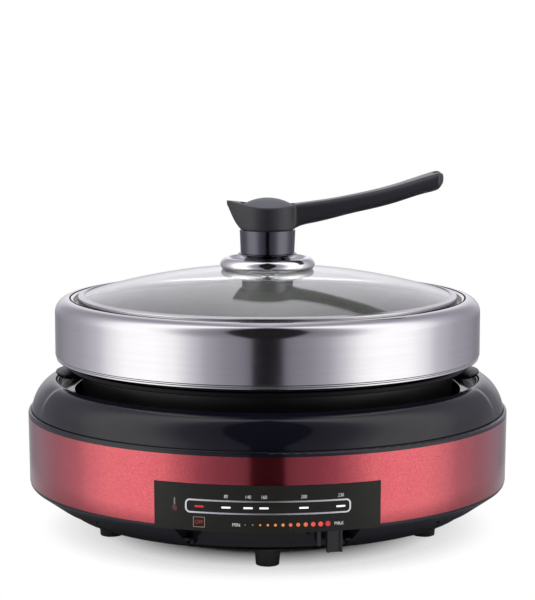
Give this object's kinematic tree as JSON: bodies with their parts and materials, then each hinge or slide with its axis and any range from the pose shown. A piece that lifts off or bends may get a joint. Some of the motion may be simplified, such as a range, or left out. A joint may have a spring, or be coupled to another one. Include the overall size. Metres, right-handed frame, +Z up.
{
  "type": "electric hot pot",
  "caption": "Round electric hot pot: heating base with slide lever, lift-out pot with steel collar, glass lid with knob and long side handle.",
  "frame": {"origin": "on the table under the centre of the base", "axes": "+Z up, -Y to the front with the control panel, +X towards the lid's long handle"},
  "size_m": [0.36, 0.36, 0.2673],
  "materials": {
    "satin_black": "fine satin moulding",
    "gloss_black": "polished moulding",
    "satin_grey": "fine satin moulding",
    "red_paint": "metallic dark red lacquer under a clear coat",
    "panel_black": "semi-gloss printed foil",
    "foot_rubber": "matt",
    "clear_lens": "clear moulded plug",
    "lamp_glass": "small neon lamp",
    "bright_steel": "bright rolled sheet",
    "brushed_steel": "brushed round the ring",
    "zinc_steel": "zinc plated",
    "spring_steel": "drawn wire",
    "heater_steel": "dark oxidised sheath",
    "sensor_aluminium": "pressed",
    "ceramic": null,
    "brass": "turned or stamped",
    "lead_sleeve": "woven glass sleeve",
    "non_stick": "non-stick coat on pressed aluminium",
    "clear_glass": "clear tempered glass",
    "chrome": "mirror",
    "silicone": "matt translucent"
  },
  "bodies": {
    "base": {"lower_tray": "satin_black", "foot_1": "foot_rubber", "foot_2": "foot_rubber", "foot_3": "foot_rubber", "foot_4": "foot_rubber", "foot_5": "foot_rubber", "foot_screws": "zinc_steel", "red_band": "red_paint", "trim_ring": "gloss_black", "top_cover": "gloss_black", "cover_screws": "zinc_steel", "control_panel": "panel_black", "lamp_lens": "clear_lens", "lamp_holder": "satin_black", "pilot_lamp": "lamp_glass", "reflector_dish": "bright_steel", "dish_screws": "zinc_steel", "heater_element": "heater_steel", "element_bushes": "ceramic", "element_clips": "bright_steel", "sensor_guide": "bright_steel", "sensor_spring": "spring_steel", "thermostat_bracket": "zinc_steel", "bracket_screws": "zinc_steel", "thermostat_body": "ceramic", "thermal_fuse": "ceramic", "fuse_clip": "zinc_steel", "terminal_block": "ceramic", "power_inlet": "satin_black", "inlet_pins": "brass", "inlet_screws": "zinc_steel", "supply_leads": "lead_sleeve", "heater_leads": "lead_sleeve"},
    "sensor": {"sensor_plunger": "sensor_aluminium"},
    "lever": {"spindle": "brass", "spindle_clip": "spring_steel", "lever_arm": "zinc_steel", "lever_tab": "satin_black"},
    "pot": {"pan": "non_stick", "steel_ring": "brushed_steel", "ring_carrier": "satin_black", "ear_left": "satin_black", "ear_right": "satin_black", "ear_screws": "zinc_steel"},
    "lid": {"glass_dome": "clear_glass", "lid_rim": "bright_steel", "steam_vent": "bright_steel", "collar": "chrome", "glass_seal": "silicone", "lower_seal": "silicone", "cup_washer": "zinc_steel", "knob_screw": "zinc_steel", "knob_stem": "gloss_black", "lid_handle": "satin_black", "head_screw": "zinc_steel", "knob_cap": "satin_grey"}
  },
  "joints": [
    {"name": "lever_swing", "type": "hinge", "parent": "base", "child": "lever", "pos_m": [0, 0, 0.0213], "axis": [0, 0, 1], "range_deg": [-30.6, 0]},
    {"name": "pot_lift", "type": "slide", "parent": "base", "child": "pot", "axis": [0, 0, 1], "range_m": [0, 0.12]},
    {"name": "lid_lift", "type": "slide", "parent": "pot", "child": "lid", "axis": [0, 0, 1], "range_m": [0, 0.15]},
    {"name": "sensor_press", "type": "slide", "parent": "base", "child": "sensor", "axis": [0, 0, -1], "range_m": [0, 0.003], "stiffness_N_per_m": 600, "springref_m": -0.001, "deforming": ["sensor_spring"]}
  ]
}
